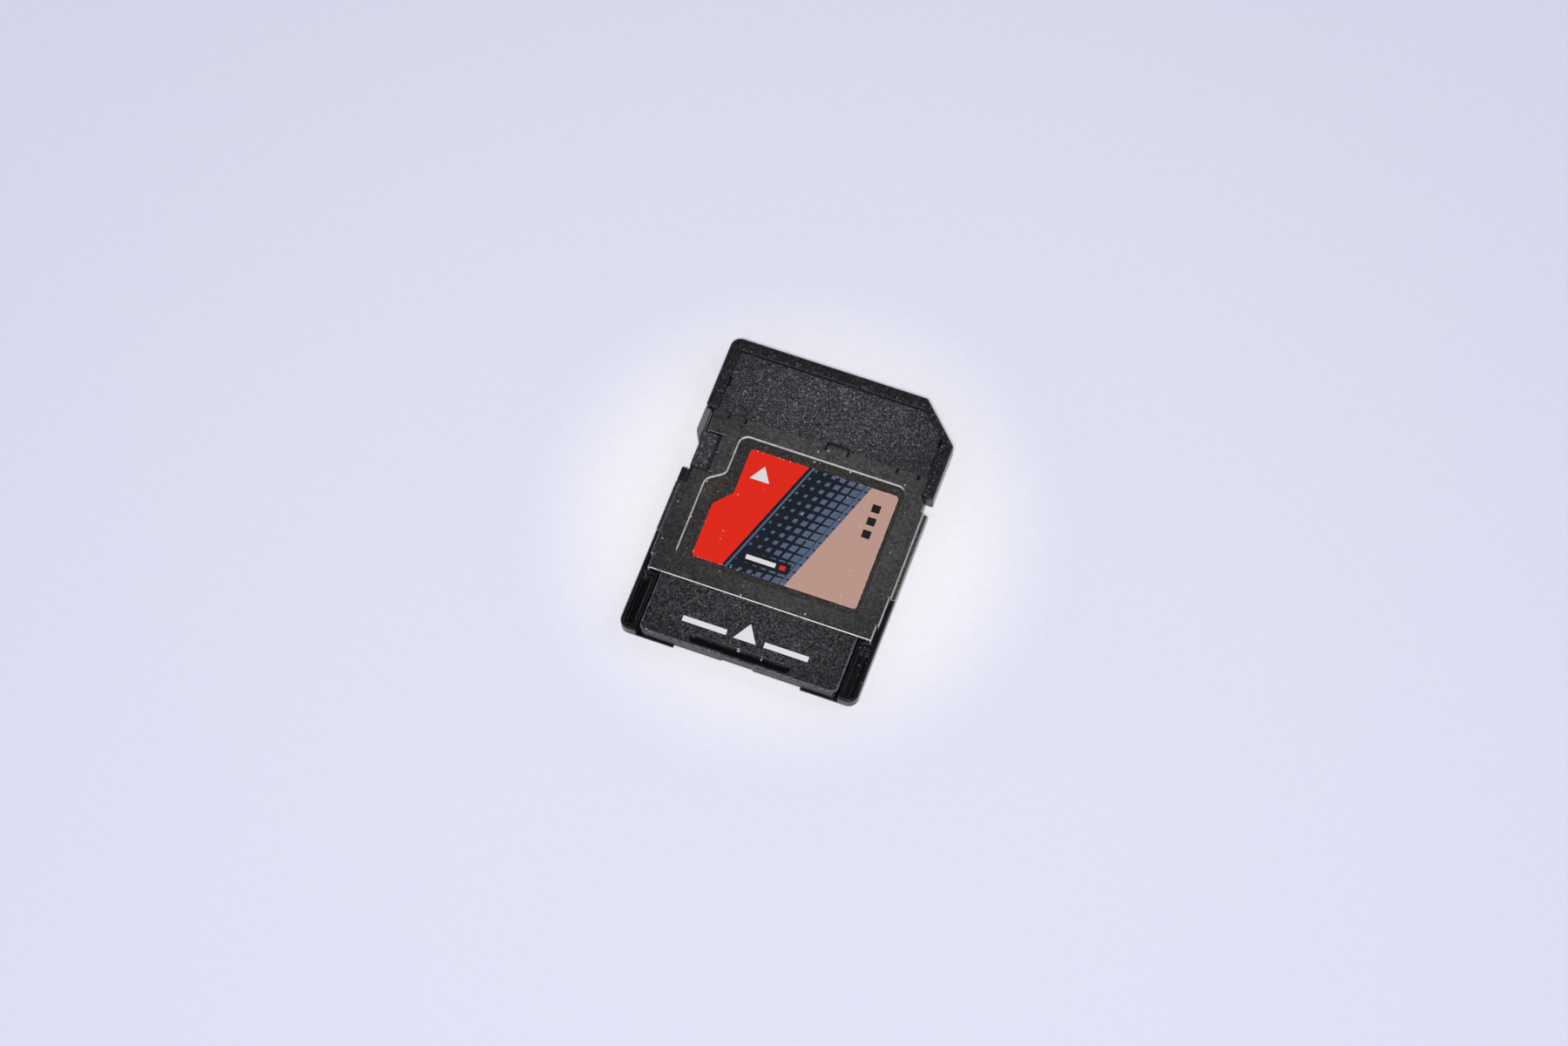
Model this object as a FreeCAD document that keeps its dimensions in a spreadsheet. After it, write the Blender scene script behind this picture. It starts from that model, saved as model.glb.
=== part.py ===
import FreeCAD, Part
import math
import os
import Sketcher

# Memory card adapter, with the small card that it takes plugged in.
# Millimetres. The origin is under the middle of the body, on its underside.
# +X is right and +Y is the contact end, seen from the label side, which is +Z.

doc = FreeCAD.newDocument("card_adapter")


class Size:
    """A length that knows its value now and the sheet expression that gives it."""

    def __init__(self, value, text):
        self.value = value
        self.text = text

    def __add__(self, other):
        other = as_size(other)
        return Size(self.value + other.value, f"({self.text} + {other.text})")

    def __radd__(self, other):
        return as_size(other) + self

    def __sub__(self, other):
        other = as_size(other)
        return Size(self.value - other.value, f"({self.text} - {other.text})")

    def __rsub__(self, other):
        return as_size(other) - self

    def __mul__(self, factor):
        factor = as_size(factor)
        return Size(self.value * factor.value, f"({self.text} * {factor.text})")

    def __rmul__(self, factor):
        return self * factor

    def __truediv__(self, divisor):
        return Size(self.value / divisor, f"({self.text} / {divisor})")

    def __neg__(self):
        return Size(-self.value, f"(-1 * {self.text})")


def as_size(number):
    if isinstance(number, Size):
        return number
    return Size(float(number), f"({float(number)})")


# Driving dimensions
driving = {
    # Body of the adapter
    "wide": 24,  # width of the body
    "long": 32,  # length of the body
    "thick": 2.1,  # thickness at the contact end
    "corner_cut": 4,  # cut corner, along each side
    "corner_round": 1,  # radius of the square corners in plan
    "cut_round": 0.35,  # radius at the ends of the cut corner
    "edge_bevel": 0.14,  # bevel of the body's outer edges
    "wall_bevel": 0.1,  # bevel of the walls' upper edges in the arms
    "rim_step": 0.7,  # side rails below the top of the rim
    "floor_thick": 0.3,  # floor under the small card
    "overrun": 1,  # how far a cut runs past the outside of the body
    # Rim and front panel
    "rim_side": 1.15,  # rim beside the front panel
    "rim_front": 1.25,  # rim ahead of the front panel
    "rim_cut": 1.04,  # rim along the cut corner, measured along a side
    "rim_gap": 0.04,  # parting gap between the rim and the front panel
    "left_rim_long": 7.9,  # left rim, from the contact end
    "right_rim_long": 9.9,  # right rim, from the contact end
    "panel_long": 8,  # contact end to the seam of the front panel
    "panel_drop": 0.03,  # front panel below the top of the rim
    "seam_pocket_wide": 0.25,  # small pockets at the sides of the front panel, width
    "seam_pocket_long": 1.15,  # small pockets at the sides of the front panel, length
    "right_pocket_ahead": 3.5,  # first pocket of the right side, from the contact end
    "right_pocket_behind": 5.6,  # second pocket of the right side, from the contact end
    "left_pocket": 4.2,  # pocket of the left side, from the contact end
    "panel_wall": 0.9,  # solid edge of the hollow front panel
    "panel_cut_wall": 0.45,  # its solid edge by the cut corner, along a side
    "panel_skin": 0.42,  # thickness of the hollow front panel
    # Small card that is plugged in
    "card_behind_seam": 2.3,  # small card's front edge behind the front panel's seam
    "card_round": 0.7,  # small card, corner radius in plan
    "card_inset": 0.2,  # small card's rear edge inside the adapter's
    "card_side_gap": 0.2,  # gap beside the small card
    "card_under_gap": 0.03,  # gap under the small card
    "card_over_gap": 0.07,  # gap over the small card
    "card_stop_gap": 0.2,  # gap ahead of the small card
    "card_top_bevel": 0.16,  # small card, bevel of its upper edge
    "card_under_bevel": 0.12,  # small card, bevel of its lower edge
    "card_wall": 0.5,  # small card, side walls
    "card_rear_wall": 1.7,  # small card, rear wall
    "card_front_wall": 0.25,  # small card, front wall under the board
    "card_room_round": 0.35,  # small card, corner radius of its inside
    "card_skin": 0.15,  # small card, top skin
    # Rear arms
    "arm_wide": 1.8,  # whole width of each arm
    "arm_wall": 0.45,  # outer and inner walls of the hollow arms
    "arm_end": 0.6,  # wall at the rear of the hollow arms
    "arm_round": 0.11,  # corner radius of the hollow arms
    "arm_front_wall": 0.25,  # wall at the front of the hollow arms
    "arm_rib_drop": 0.55,  # rib in the right arm, below the rails
    "arm_rib_thick": 0.2,  # rib in the right arm, thickness
    "arm_cross_gap": 0.45,  # end rib of the right arm to the front wall
    "arm_rib_inset": 0.9,  # rib in the right arm, from the side
    "floor_cut_side": 5.6,  # rear opening of the floor, from each side
    "floor_cut_deep": 1.2,  # rear opening of the floor, depth
    # Write lock
    "lock_slot_deep": 0.77,  # lock slot, into the left side
    "lock_slot_long": 6.75,  # lock slot, length
    "lock_side_gap": 0.15,  # gap between the lock and the wall of its slot
    "lock_long": 3.3,  # lock, length
    "lock_low": 0.35,  # lock, underside above the floor plane
    "lock_rise": 0.35,  # lock, top above the rails
    "lock_end_gap": 0.1,  # gap between the lock and the end of its slot
    "lock_round": 0.1,  # lock, rounding of its upper edge
    "lock_slant_wide": 0.45,  # slant at the lock's rear corner, across
    "lock_slant_long": 0.8,  # slant at the lock's rear corner, along
    "groove_deep": 0.35,  # groove that keeps the lock, depth
    "groove_roof": 0.2,  # wall over the groove that keeps the lock
    "groove_high": 0.4,  # groove that keeps the lock, height
    "tongue_gap": 0.05,  # running gap round the lock's tongue
    "stop_long": 1.5,  # raised stops behind the lock slot, length
    "stop_wide": 0.6,  # outer raised stop, width
    "stop_inset": 0.1,  # outer raised stop, from the left side
    "stop_round": 0.15,  # outer raised stop, corner radius
    "stop_high": 0.35,  # outer raised stop, above the rails
    "inner_stop_wide": 0.35,  # inner raised stop, width
    "inner_stop_high": 0.45,  # inner raised stop, above the rails
    "sill_wide": 1.7,  # raised sill beside the lock slot, width
    "sill_long": 3.9,  # raised sill beside the lock slot, length
    "sill_high": 0.58,  # raised sill above the rails
    "sill_gap": 0.15,  # gap between the sill and the metal round it
    # Notch of the right side
    "notch_deep": 0.7,  # right notch, into the side
    "notch_long": 1.6,  # right notch, length
    # Folded metal cover
    "sheet_thick": 0.15,  # metal, thickness
    "sheet_drop": 0.02,  # top of the metal below the rim
    "sheet_rear": 6.3,  # metal's rear edge, from the rear
    "sheet_round": 0.08,  # rolled-over rear edge of the metal
    "relief_wide": 0.3,  # relief cuts at the corners of the sill's opening, width
    "tick_wide": 0.25,  # small notch beside the middle of the sill, width
    "tick_long": 0.3,  # small notch beside the middle of the sill, length
    "bend_in": 0.3,  # width of a folded edge in plan
    "bend_round": 0.22,  # outer radius of a fold
    "step_gap": 0.1,  # slit between one fold and the next
    "left_step": 7.8,  # step of the left edge, from the rear
    "left_foot_gap": 0.15,  # left foot to the raised stops
    "right_step": 8,  # first step of the right edge, from the rear
    "rear_edge_in": 0.7,  # metal's edge at the rear, from each side
    "left_edge_in": 0.45,  # metal's left edge, from the side
    "right_edge_in": 0.5,  # metal's right edge behind the foot
    "right_foot_in": 0.35,  # metal's right edge above the foot
    "stop_edge_gap": 0.05,  # metal's left edge to the raised stops
    "front_edge_in": 1.05,  # metal's left edge ahead of the sill
    "lip_gap": 0.08,  # metal's edge to the rim by the right notch
    "lip_cut": 0.62,  # slant of the metal by the right notch, along
    "foot_inset": 0.02,  # end of the metal feet, from the side
    # Sunken label panel and label
    "sunk": 0.13,  # depth of the sunken panel
    "sunk_left": 2.72,  # sunken panel, from the left side
    "sunk_right": 2.7,  # sunken panel, from the right side
    "sunk_rear": 8.2,  # sunken panel, from the rear
    "sunk_front": 9.75,  # sunken panel, from the contact end
    "sunk_jog": 1.71,  # jog of the sunken panel's left edge, across
    "jog_from_slot": 0.6,  # jog of the sunken panel, each way from the lock slot's rear
    "sunk_foot": 0.01,  # upright foot of the sunken panel's slanted edge
    "sunk_round": 0.88,  # sunken panel, corner radius
    "label_thick": 0.06,  # label, thickness
    "label_left": 1.48,  # label inside the sunken panel, left
    "label_right": 0.43,  # label inside the sunken panel, right
    "label_rear": 0.65,  # label inside the sunken panel, rear
    "label_front": 1,  # label inside the sunken panel, front
    "label_jog": 1.55,  # jog of the label's left edge, across
    "label_round": 0.38,  # label, corner radius
    # Tabs that lock the metal under the front panel
    "tab_thick_gap": 0.03,  # gap round the tabs in the front panel
    "tab_slot_long": 0.22,  # slot in the front panel over the middle tab
    "seat_gap": 0.08,  # gap beside and ahead of the tabs
    "tab_reach": 0.7,  # tabs under the front panel
    "tab_root": 0.4,  # tabs under the metal
    "tab_notch_long": 0.5,  # slits beside the tabs, length
    "tab_notch_wide": 0.25,  # slits beside the tabs, width
    "left_tab": 3.38,  # left tab's middle, from the left side
    "left_tab_wide": 1.45,  # left tab, width
    "mid_tab": 1.6,  # middle tab's middle, right of the centre
    "mid_tab_wide": 2,  # middle tab, width
    "right_tab": 3.15,  # right tab's middle, from the right side
    "right_tab_wide": 1.9,  # right tab, width
    # Contacts
    "pad_recess": 0.7,  # contact pads above the underside
    "contact_thick": 0.15,  # contact strip, thickness
    "slim_rib": 0.3,  # rib between the two windows of slim pads
    "window_gap": 0.2,  # window beside each contact pad
    "pad_from_side": 1.45,  # first pad's outer edge, from the right side
    "last_pad_from_side": 2.675,  # last pad's middle, from the left side
    "seventh_pitch": 2.425,  # pitch to the first slim pad
    "eighth_pitch": 1.7,  # pitch to the second slim pad
    "pad_from_front": 1.9,  # front end of the pads, from the contact end
    "pad_long": 3.8,  # contact pad, length
    "set_back": 2.7,  # front end of the pad by the cut corner, further back
    "set_back_long": 2.8,  # length of the pad by the cut corner
    "spring_margin": 0.2,  # small card's pad beside the contact spring
    "spring_rise": 0.08,  # small card's pads above the contact strips
    "neck_long": 1.1,  # straight neck behind the springs' root
    "spring_long": 3.3,  # contact spring, past the front floor
    "bump_from_tip": 0.8,  # contact point, from the spring's tip
    "bump_gap": 0.01,  # contact point below the small card's pad
    "tip_drop": 0.2,  # tip of the spring below its contact point
    "heel_drop": 0.075,  # heel of the spring below the strip
    "spring_round": 0.3,  # bends of the spring
    "pad_clearance": 0.1,  # contact pads to the walls of their chamber
    "pad_rear_clearance": 0.2,  # first pad to the narrow part of the chamber
    "carrier_gap": 0.05,  # gap at the ends of the contact carrier
    "carrier_long": 2.2,  # contact carrier, length
    # Inside the small card
    "card_pad_margin": 2,  # last of the small card's pads, from its side
    "card_pad_long": 3.4,  # small card's pad, length
    "card_pad_inset": 0.4,  # small card's pad, from its front edge
    "card_pad_thick": 0.03,  # small card's pad, thickness
    "card_rib_gap": 0.08,  # window beside each of the small card's pads
    "board_thick": 0.15,  # circuit board, thickness
    "board_gap": 0.15,  # gap round the circuit board
    "chip_top_gap": 0.03,  # gap over the chips
    "flash_side": 3,  # memory chip, from the small card's sides
    "chip_gap": 0.9,  # between the memory chip and the controller
    "flash_from_rear": 2.4,  # memory chip, from the small card's rear
    "controller_side": 5,  # controller chip, each side
    "controller_from_front": 3.2,  # controller chip, from the front
    "groove_wide": 10.15,  # thumb groove, length across the small card
    "groove_long": 0.85,  # thumb groove, width
    "groove_from_rear": 0.35,  # thumb groove, from the small card's rear
    "groove_round": 0.42,  # thumb groove, radius of its ends
    "groove_sink": 0.45,  # thumb groove, depth
    "scoop_wide": 3.2,  # scoop of the rear lip, width
    "scoop_in": 0.15,  # scoop of the rear lip, into the rear face
    "lip_overlap": 0.21,  # lowered lip, into the thumb groove
    "scoop_low": 0.14,  # scoop of the rear lip, below the top
}


class Sizes:
    """The driving dimensions, kept in a spreadsheet under their own names."""

    def __init__(self, dimensions):
        sheet = doc.addObject("Spreadsheet::Sheet", "Sizes")
        for row, (alias, number) in enumerate(dimensions.items(), start=1):
            sheet.set(f"A{row}", alias.replace("_", " "))
            sheet.set(f"B{row}", str(number))
            sheet.setAlias(f"B{row}", alias)
            setattr(self, alias, Size(number, f"Sizes.{alias}"))


sizes = Sizes(driving)

SAME_PLACE = 0.001

# Counts and proportions
card_pad_count = 11
contact_count = 9
slim_pad_count = 2
pad_share = 0.6  # wide contact pad's width in its pitch
card_pad_share = 0.6875  # small card's pad's width in its pitch
left_foot_share = 1 / 3  # where the left fold turns into its foot
right_foot_share = 1 / 4  # where the right fold turns into its foot
label_jog_front_share = 0.181  # jog of the label behind the panel's, front end
label_jog_rear_share = 0.272  # jog of the label behind the panel's, rear end
jog_slant = 0.6  # how far the jog's slant moves along as the panel's edge grows

# Places and sizes that several pieces share
left = -sizes.wide / 2
right = sizes.wide / 2
rear = -sizes.long / 2
front = sizes.long / 2
rail_high = sizes.thick - sizes.rim_step
sheet_top = sizes.thick - sizes.sheet_drop
sheet_under = sheet_top - sizes.sheet_thick
sunk_top = sheet_top - sizes.sunk
slot_roof = sunk_top - sizes.sheet_thick
slot_half = sizes.wide / 2 - sizes.arm_wide
card_half = slot_half - sizes.card_side_gap
card_bottom = sizes.floor_thick + sizes.card_under_gap
card_top = slot_roof - sizes.card_over_gap
card_rear = rear + sizes.card_inset
seam = front - sizes.panel_long
card_front = seam - sizes.card_behind_seam
slot_front = card_front + sizes.card_stop_gap
contact_top = sizes.pad_recess + sizes.contact_thick
card_pad_level = contact_top + sizes.spring_rise
board_top = card_pad_level + sizes.board_thick
parting = card_pad_level + sizes.board_thick / 2
card_pitch = (card_half - sizes.card_pad_margin) * (2 / (card_pad_count - 1))
card_pad_wide = card_pitch * card_pad_share
spring_wide = card_pad_wide - sizes.spring_margin * 2
wide_pitches = contact_count - 1 - slim_pad_count
pad_room = sizes.wide - sizes.pad_from_side - sizes.last_pad_from_side
pad_pitch = (pad_room - sizes.seventh_pitch - sizes.eighth_pitch) / (wide_pitches + pad_share / 2)
pad_wide = pad_pitch * pad_share
slim_pad_wide = sizes.eighth_pitch - sizes.slim_rib - sizes.window_gap * 2
inner_left = left + sizes.lock_slot_deep
lock_slot_front = front - sizes.left_rim_long
lock_slot_rear = lock_slot_front - sizes.lock_slot_long
groove_low = rail_high - sizes.groove_roof - sizes.groove_high
stop_rear = lock_slot_rear - sizes.stop_long
sill_rear = lock_slot_rear + sizes.sill_gap * 2
sill_front = sill_rear + sizes.sill_long
notch_front = front - sizes.right_rim_long
notch_rear = notch_front - sizes.notch_long
jog_rear = lock_slot_rear - sizes.jog_from_slot
jog_front = lock_slot_rear + sizes.jog_from_slot
sheet_rear = rear + sizes.sheet_rear
left_step = rear + sizes.left_step
left_foot_front = stop_rear - sizes.left_foot_gap
left_foot_rear = left_step + (left_foot_front - left_step) * left_foot_share
right_step = rear + sizes.right_step
right_foot_front = notch_rear - sizes.step_gap
right_foot_rear = right_step + (right_foot_front - right_step) * right_foot_share


def origin_plane(body, role):
    return next(plane for plane in body.Origin.OriginFeatures if plane.Role == role)


def new_body(label):
    body = doc.addObject("PartDesign::Body", label)
    body.Label = label
    return body


def bind(thing, path, size):
    thing.setExpression(path, size.text)


def draw_loop(sketch, corners):
    """Draw a closed outline of (across, up, radius) corners, each one fully placed."""
    points = [FreeCAD.Vector(c[0].value, c[1].value, 0) for c in corners]
    count = len(points)
    ends = []
    for index, corner in enumerate(corners):
        here = points[index]
        if corner[2] is None:
            ends.append((here, here, None))
            continue
        back = (points[index - 1] - here).normalize()
        ahead = (points[(index + 1) % count] - here).normalize()
        half_angle = math.acos(max(-1.0, min(1.0, back.dot(ahead)))) / 2
        radius = corner[2].value
        run = radius / math.tan(half_angle)
        middle = here + (back + ahead).normalize() * (radius / math.sin(half_angle))
        ends.append((here + back * run, here + ahead * run, middle))
    sides = []
    for index in range(count):
        start = ends[index][1]
        stop = ends[(index + 1) % count][0]
        sides.append(sketch.addGeometry(Part.LineSegment(start, stop), False))
    for index, corner in enumerate(corners):
        before = sides[index - 1]
        after = sides[index]
        first, last, middle = ends[index]
        if middle is None:
            sketch.addConstraint(Sketcher.Constraint("Coincident", before, 2, after, 1))
            holder = after
        else:
            start_angle = math.atan2(first.y - middle.y, first.x - middle.x)
            stop_angle = math.atan2(last.y - middle.y, last.x - middle.x)
            turns_left = (first - middle).cross(last - middle).z > 0
            low, high = (start_angle, stop_angle) if turns_left else (stop_angle, start_angle)
            if high < low:
                high += math.tau
            circle = Part.Circle(middle, FreeCAD.Vector(0, 0, 1), corner[2].value)
            arc = sketch.addGeometry(Part.ArcOfCircle(circle, low, high), False)
            arc_start, arc_end = (1, 2) if turns_left else (2, 1)
            sketch.addConstraint(Sketcher.Constraint("Tangent", before, 2, arc, arc_start))
            sketch.addConstraint(Sketcher.Constraint("Tangent", after, 1, arc, arc_end))
            radius_at = sketch.addConstraint(Sketcher.Constraint("Radius", arc, corner[2].value))
            bind(sketch, f"Constraints[{radius_at}]", corner[2])
            holder = sketch.addGeometry(Part.Point(points[index]), True)
            sketch.addConstraint(Sketcher.Constraint("PointOnObject", holder, 1, before))
            sketch.addConstraint(Sketcher.Constraint("PointOnObject", holder, 1, after))
        for kind, size in (("DistanceX", corner[0]), ("DistanceY", corner[1])):
            place_at = sketch.addConstraint(Sketcher.Constraint(kind, -1, 1, holder, 1, size.value))
            bind(sketch, f"Constraints[{place_at}]", size)


def draw(body, name, role, lift, loops):
    """Sketch closed loops on one of the body's planes, lifted along its normal."""
    sketch = body.newObject("Sketcher::SketchObject", name)
    sketch.AttachmentSupport = [(origin_plane(body, role), "")]
    sketch.MapMode = "FlatFace"
    sketch.AttachmentOffset = FreeCAD.Placement(FreeCAD.Vector(0, 0, lift.value), FreeCAD.Rotation())
    bind(sketch, "AttachmentOffset.Base.z", lift)
    for loop in loops:
        draw_loop(sketch, loop)
    return sketch


def extrude(kind, body, name, sketch, length, turned):
    feature = body.newObject(kind, name)
    feature.Profile = sketch
    feature.Length = length.value
    feature.Reversed = turned
    bind(feature, "Length", length)
    sketch.Visibility = False
    return feature


def pad(body, name, low, high, loops):
    """Add material between two heights."""
    sketch = draw(body, name + "_outline", "XY_Plane", low, loops)
    return extrude("PartDesign::Pad", body, name, sketch, high - low, False)


def pocket(body, name, low, high, loops):
    """Remove material between two heights, cutting downwards."""
    sketch = draw(body, name + "_outline", "XY_Plane", high, loops)
    return extrude("PartDesign::Pocket", body, name, sketch, high - low, False)


def rectangle(x_low, x_high, y_low, y_high, radius=None):
    return [
        (x_low, y_low, radius),
        (x_high, y_low, radius),
        (x_high, y_high, radius),
        (x_low, y_high, radius),
    ]


def close(first, second):
    """Whether two places are the same, as a shape's own numbers give them."""
    return abs(first - second) < SAME_PLACE


def level(edge, height):
    """Whether an edge lies flat at a height."""
    return close(edge.ZMin, height.value) and close(edge.ZMax, height.value)


def soften(kind, body, name, size, chosen):
    """Round or bevel the edges whose boxes pass a test."""
    doc.recompute()
    before = body.Tip
    edges = enumerate(before.Shape.Edges, start=1)
    names = [f"Edge{number}" for number, edge in edges if chosen(edge.BoundBox)]
    feature = body.newObject(f"PartDesign::{kind}", name)
    feature.Base = (before, names)
    amount = "Radius" if kind == "Fillet" else "Size"
    setattr(feature, amount, size.value)
    bind(feature, amount, size)
    return feature


def box(label, x_low, x_high, y_low, y_high, z_low, z_high):
    """A plain rectangular piece."""
    piece = doc.addObject("Part::Box", label)
    piece.Label = label
    for side, low, high in (
        ("Length", x_low, x_high),
        ("Width", y_low, y_high),
        ("Height", z_low, z_high),
    ):
        setattr(piece, side, (high - low).value)
        bind(piece, side, high - low)
    piece.Placement.Base = FreeCAD.Vector(x_low.value, y_low.value, z_low.value)
    for axis, low in (("x", x_low), ("y", y_low), ("z", z_low)):
        bind(piece, f"Placement.Base.{axis}", low)
    return piece


# Contacts' places, from the cut corner across to the left side

def contact_places():
    """Middle, width, rear end and front end of each contact pad."""
    steps = [as_size(0)] + [pad_pitch] * wide_pitches + [sizes.seventh_pitch, sizes.eighth_pitch]
    middle = right - sizes.pad_from_side - pad_wide / 2
    places = []
    for number in range(contact_count):
        middle = middle - steps[number]
        width = pad_wide if number < contact_count - slim_pad_count else slim_pad_wide
        pad_front = front - sizes.pad_from_front
        length = sizes.pad_long
        if number == 0:
            pad_front = pad_front - sizes.set_back
            length = sizes.set_back_long
        places.append((middle, width, pad_front - length, pad_front))
    return places


def card_pad_middles():
    """Middles of the small card's pads, from left to right."""
    last = (card_pad_count - 1) / 2
    return [card_pitch * (number - last) for number in range(card_pad_count)]


# Moulded frame

def body_outline():
    return [
        (left, rear, sizes.corner_round),
        (right, rear, sizes.corner_round),
        (right, front - sizes.corner_cut, sizes.cut_round),
        (right - sizes.corner_cut, front, sizes.cut_round),
        (left, front, sizes.corner_round),
    ]


def panel_corner(gap):
    """The front panel's cut corner, kept a gap inside the rim."""
    side = right - sizes.rim_side - gap
    ahead = front - sizes.rim_front - gap
    reach = sizes.corner_cut + sizes.rim_cut + gap * math.sqrt(2)
    return [
        (side, front - reach + sizes.rim_side + gap, None),
        (right - reach + sizes.rim_front + gap, ahead, None),
    ]


def add_rim(body):
    """The rim round the front panel."""
    inner_cut = panel_corner(as_size(0))
    rim = [
        (left, lock_slot_front, sizes.cut_round),
        (left + sizes.rim_side, lock_slot_front, None),
        (left + sizes.rim_side, front - sizes.rim_front, None),
        inner_cut[1],
        inner_cut[0],
        (right - sizes.rim_side, notch_front, None),
        (right, notch_front, None),
        (right, front - sizes.corner_cut, sizes.cut_round),
        (right - sizes.corner_cut, front, sizes.cut_round),
        (left, front, sizes.corner_round),
    ]
    pad(body, "Rim", rail_high, sizes.thick, [rim])


def on_outline(edge):
    """Whether an edge follows the body's outline, at this stage of the frame."""
    slanted = edge.XLength > SAME_PLACE and edge.YLength > SAME_PLACE
    beside = close(edge.XMax, left.value) or close(edge.XMin, right.value)
    return slanted or beside or close(edge.YMax, rear.value) or close(edge.YMin, front.value)


def bevel_outer_edges(body):
    """Bevel the frame's outer edges: underneath, on the rim and on the rails behind it."""
    rim_inside = right.value + front.value - sizes.corner_cut.value - sizes.rim_cut.value / 2
    soften("Chamfer", body, "UnderEdges", sizes.edge_bevel, lambda edge: (
        level(edge, as_size(0)) and on_outline(edge)))
    soften("Chamfer", body, "RimEdges", sizes.edge_bevel, lambda edge: (
        level(edge, sizes.thick) and on_outline(edge)
        and (edge.XMin < 0 or edge.Center.x + edge.Center.y > rim_inside)))
    soften("Chamfer", body, "RailEdges", sizes.edge_bevel, lambda edge: (
        level(edge, rail_high) and on_outline(edge)
        and edge.YMax < notch_rear.value + SAME_PLACE))


def add_stops_and_sill(body):
    """The raised stops behind the lock's slot, and the sill beside it."""
    stop_left = left + sizes.stop_inset
    outer_stop = rectangle(
        stop_left, stop_left + sizes.stop_wide, stop_rear, lock_slot_rear, sizes.stop_round)
    pad(body, "OuterStop", rail_high - sizes.edge_bevel, rail_high + sizes.stop_high, [outer_stop])
    inner_stop = rectangle(
        inner_left, inner_left + sizes.inner_stop_wide, stop_rear, lock_slot_rear)
    pad(body, "InnerStop", rail_high, rail_high + sizes.inner_stop_high, [inner_stop])
    sill = rectangle(inner_left, inner_left + sizes.sill_wide, sill_rear, sill_front)
    pad(body, "Sill", rail_high, rail_high + sizes.sill_high, [sill])


def cut_card_slot(body):
    """The slot of the small card, the contacts' chamber and their windows."""
    slot = rectangle(-slot_half, slot_half, rear - sizes.overrun, slot_front)
    pocket(body, "CardSlot", sizes.floor_thick, slot_roof, [slot])
    first, second = contact_places()[:2]
    side = right - sizes.pad_from_side + sizes.pad_clearance
    step = first[2] - sizes.pad_rear_clearance
    chamber_front = second[3] + sizes.pad_clearance
    chamber = [
        (-slot_half, slot_front - sizes.rim_gap, None),
        (slot_half, slot_front - sizes.rim_gap, None),
        (slot_half, step, None),
        (side, step, None),
        (side, first[3] + sizes.pad_clearance, None),
        (second[0] + second[1] / 2 + sizes.pad_clearance, chamber_front, None),
        (-side, chamber_front, None),
        (-side, step, None),
        (-slot_half, step, None),
    ]
    pocket(body, "ContactChamber", sizes.pad_recess, rail_high, [chamber])
    windows = []
    for middle, width, pad_rear, pad_front in contact_places():
        half = width / 2 + sizes.window_gap
        windows.append(rectangle(middle - half, middle + half, pad_rear, front + sizes.overrun))
    window_outline = draw(body, "Windows_outline", "XY_Plane", as_size(0), windows)
    extrude("PartDesign::Pocket", body, "Windows", window_outline, sizes.pad_recess, True)


def cut_lock_and_notch(body):
    """The lock's slot and groove on the left side, and the notch on the right."""
    above = sizes.thick + sizes.overrun
    lock_slot = rectangle(left - sizes.overrun, inner_left, lock_slot_rear, lock_slot_front)
    pocket(body, "LockSlot", -sizes.overrun, above, [lock_slot])
    groove = rectangle(left, inner_left + sizes.groove_deep, lock_slot_rear, lock_slot_front)
    pocket(body, "LockGroove", groove_low, groove_low + sizes.groove_high, [groove])
    notch = rectangle(
        right - sizes.notch_deep, right + sizes.overrun, notch_rear, notch_front)
    pocket(body, "Notch", -sizes.overrun, above, [notch])


def hollow_arms(body):
    """The hollows of the two rear arms and the ribs in the right one."""
    channel_rear = rear + sizes.arm_end
    channel_front = sheet_rear - sizes.arm_front_wall
    arm_inner = slot_half + sizes.arm_wall
    arm_outer = right - sizes.arm_wall
    channels = [
        rectangle(-arm_outer, -arm_inner, channel_rear, channel_front, sizes.arm_round),
        rectangle(arm_inner, arm_outer, channel_rear, channel_front, sizes.arm_round),
    ]
    pocket(body, "ArmHollows", sizes.floor_thick, rail_high, channels)
    soften("Chamfer", body, "ArmEdges", sizes.wall_bevel, lambda edge: (
        level(edge, rail_high) and edge.YMax < channel_front.value + SAME_PLACE
        and min(abs(edge.XMin), abs(edge.XMax)) > arm_inner.value - SAME_PLACE
        and max(abs(edge.XMin), abs(edge.XMax)) < arm_outer.value + SAME_PLACE
        and edge.YMin > channel_rear.value - SAME_PLACE))
    overlap = sizes.arm_round
    rib_top = rail_high - sizes.arm_rib_drop
    rib_right = right - sizes.arm_rib_inset
    cross_front = channel_front - sizes.arm_cross_gap
    rib = rectangle(
        rib_right - sizes.arm_rib_thick, rib_right, channel_rear - overlap, cross_front)
    pad(body, "ArmRib", sizes.floor_thick, rib_top, [rib])
    cross = rectangle(
        arm_inner - overlap, arm_outer + overlap, cross_front - sizes.arm_rib_thick, cross_front)
    pad(body, "ArmCrossRib", sizes.floor_thick, rib_top, [cross])
    floor_cut = rectangle(
        left + sizes.floor_cut_side, right - sizes.floor_cut_side,
        rear - sizes.overrun, rear + sizes.floor_cut_deep)
    pocket(body, "FloorCut", -sizes.overrun, card_bottom, [floor_cut])


def make_base_frame():
    body = new_body("base_frame")
    pad(body, "Slab", as_size(0), rail_high, [body_outline()])
    add_rim(body)
    cut_lock_and_notch(body)
    bevel_outer_edges(body)
    add_stops_and_sill(body)
    cut_card_slot(body)
    hollow_arms(body)


# Front panel, hollow underneath, with seats for the metal's tabs

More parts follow.
